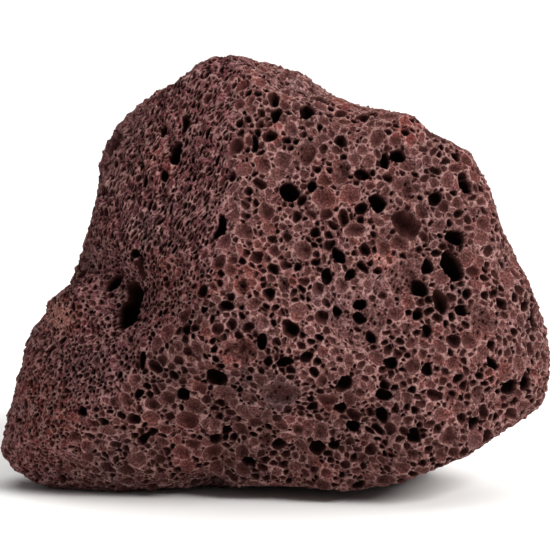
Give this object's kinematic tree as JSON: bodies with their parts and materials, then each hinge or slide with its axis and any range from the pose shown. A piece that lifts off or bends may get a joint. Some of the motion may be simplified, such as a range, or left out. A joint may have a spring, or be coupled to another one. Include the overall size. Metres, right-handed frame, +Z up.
{
  "type": "lava rock",
  "caption": "Angular fist-sized lump of reddish-brown lava rock (scoria), riddled with broken-open gas pits, resting on its flat broken base.",
  "frame": {"origin": "middle of the lump's bounding box in X and Y, at the height of the flat patch it rests on", "axes": "+X along the widest side of the lump, +Y away from the broad pitted face, +Z up; the lump's widest section leans back 10 degrees towards +Y"},
  "size_m": [0.0998, 0.0646, 0.0792],
  "materials": {
    "scoria": "dull, rough, unpolished stone"
  },
  "bodies": {
    "root": {"lava_rock": "scoria"}
  },
  "joints": []
}
